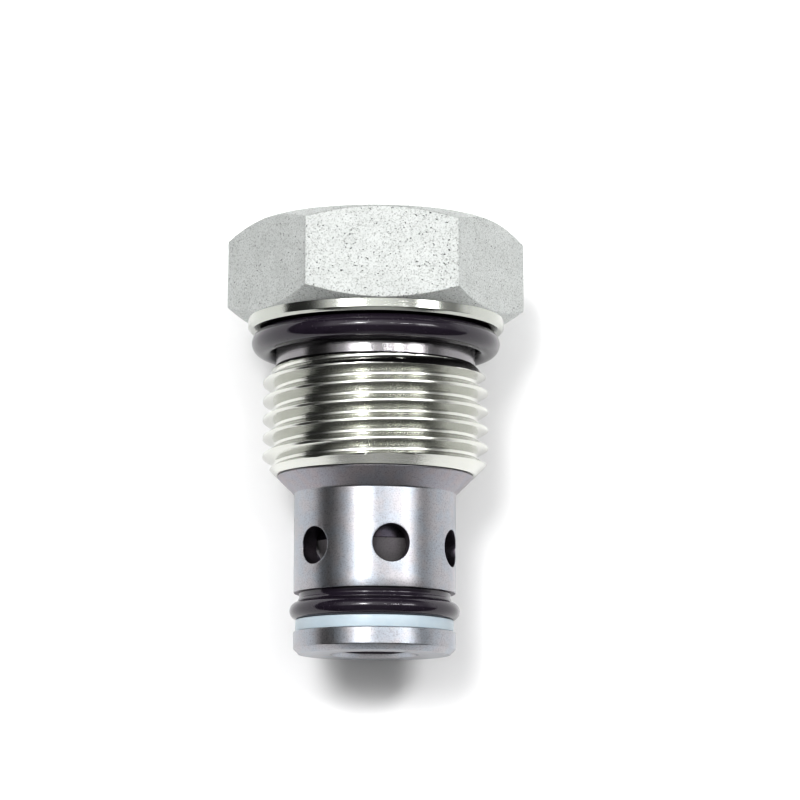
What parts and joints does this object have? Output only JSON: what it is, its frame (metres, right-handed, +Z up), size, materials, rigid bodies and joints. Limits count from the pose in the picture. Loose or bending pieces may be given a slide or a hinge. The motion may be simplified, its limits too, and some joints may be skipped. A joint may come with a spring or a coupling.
{
  "type": "cartridge check valve",
  "caption": "Screw-in cartridge check valve with a hex head, threaded plug, ported cage with nose seals, and a spring-closed sliding poppet.",
  "frame": {"origin": "on the valve's axis, in the plane of the collar's bearing face, which seats on the manifold", "axes": "the valve lies on a hex flat: +Y along the axis from the nose to the hex, -Y into the cavity, +Z up out of the upper hex flat"},
  "size_m": [0.0294, 0.042, 0.0254],
  "materials": {
    "zinc_plated_steel": "satin zinc plate",
    "cage_steel": "fine turned and ground",
    "poppet_steel": "hardened, ground",
    "spring_steel": "drawn wire",
    "black_rubber": "glossy, lightly oiled",
    "pale_plastic": "waxy, slightly see-through"
  },
  "bodies": {
    "valve_body": {"hex_plug": "zinc_plated_steel", "head_o_ring": "black_rubber", "cage": "cage_steel", "upper_backup_ring": "black_rubber", "nose_o_ring": "black_rubber", "lower_backup_ring": "pale_plastic", "spring": "spring_steel", "spring_shim": "spring_steel"},
    "poppet": {"poppet": "poppet_steel"}
  },
  "joints": [
    {"name": "poppet_lift", "type": "slide", "parent": "valve_body", "child": "poppet", "axis": [0, 1, 0], "range_m": [0, 0.003], "stiffness_N_per_m": 1500, "springref_m": -0.003, "deforming": ["spring"]}
  ]
}
